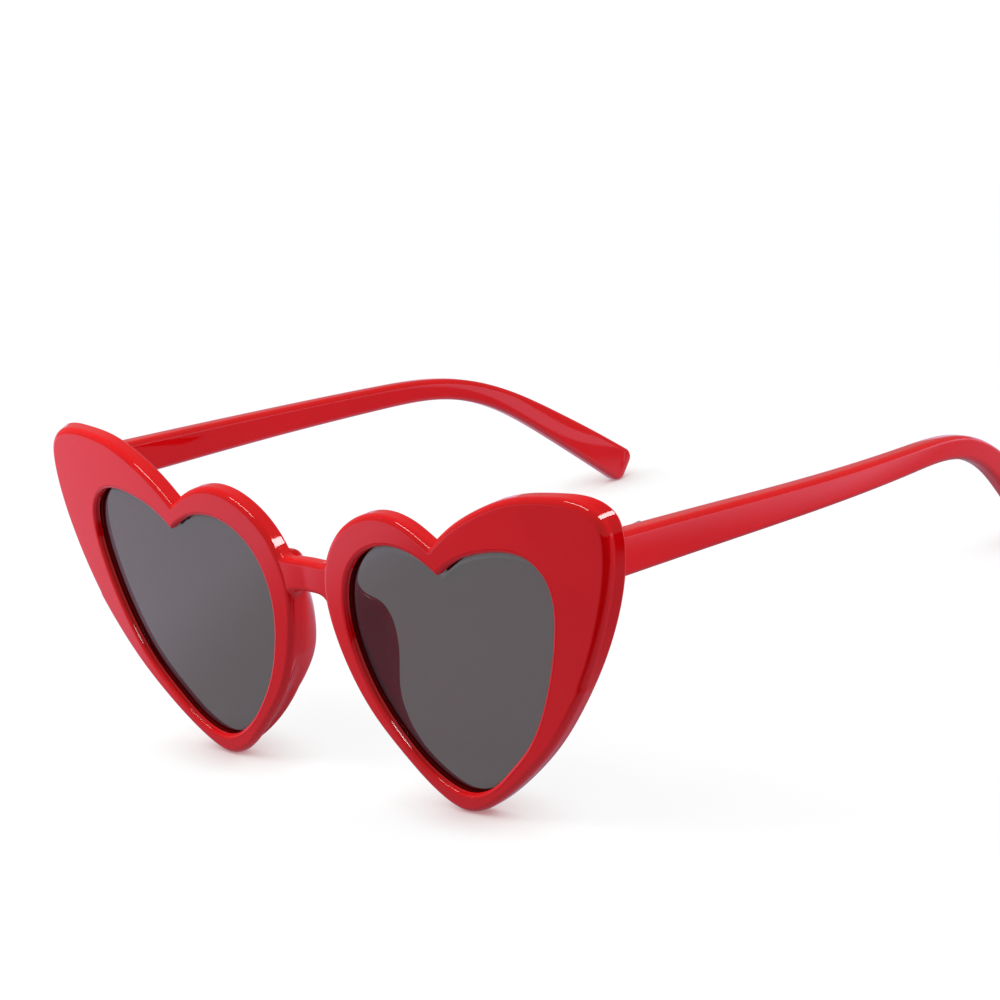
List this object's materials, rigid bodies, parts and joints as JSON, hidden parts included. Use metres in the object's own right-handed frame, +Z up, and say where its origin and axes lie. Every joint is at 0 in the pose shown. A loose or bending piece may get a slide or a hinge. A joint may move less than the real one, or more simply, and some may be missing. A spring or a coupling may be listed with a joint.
{
  "type": "heart-shaped sunglasses",
  "caption": "Sunglasses with two heart-shaped rims, tinted lenses, moulded nose pads and wide temples that fold on barrel hinges.",
  "frame": {"origin": "on the floor under the middle of the bounding box, with the glasses open and standing on the two heart tips and the two ear tips", "axes": "+X towards the wearer's left, +Y backwards along the temples, so the front faces -Y, and +Z up"},
  "size_m": [0.148, 0.1426, 0.0606],
  "materials": {
    "red_plastic": "polished, opaque red",
    "lens_grey": "smooth, evenly tinted dark grey",
    "hinge_steel": "bright, tumbled"
  },
  "bodies": {
    "front": {"front_frame": "red_plastic", "lens_left": "lens_grey", "lens_right": "lens_grey", "nose_pad_left": "red_plastic", "nose_pad_right": "red_plastic", "hinge_front_leaf_left": "hinge_steel", "hinge_front_leaf_right": "hinge_steel", "hinge_screw_left": "hinge_steel", "hinge_screw_right": "hinge_steel"},
    "temple_left": {"temple_left": "red_plastic", "hinge_temple_leaf_left": "hinge_steel"},
    "temple_right": {"temple_right": "red_plastic", "hinge_temple_leaf_right": "hinge_steel"}
  },
  "joints": [
    {"name": "temple_left_fold", "type": "hinge", "parent": "front", "child": "temple_left", "pos_m": [0.0656, -0.06176, 0.05001], "axis": [0, 0.0612, 0.9981], "range_deg": [0, 86]},
    {"name": "temple_right_fold", "type": "hinge", "parent": "front", "child": "temple_right", "pos_m": [-0.0656, -0.06176, 0.05001], "axis": [0, -0.0612, -0.9981], "range_deg": [0, 78]}
  ]
}
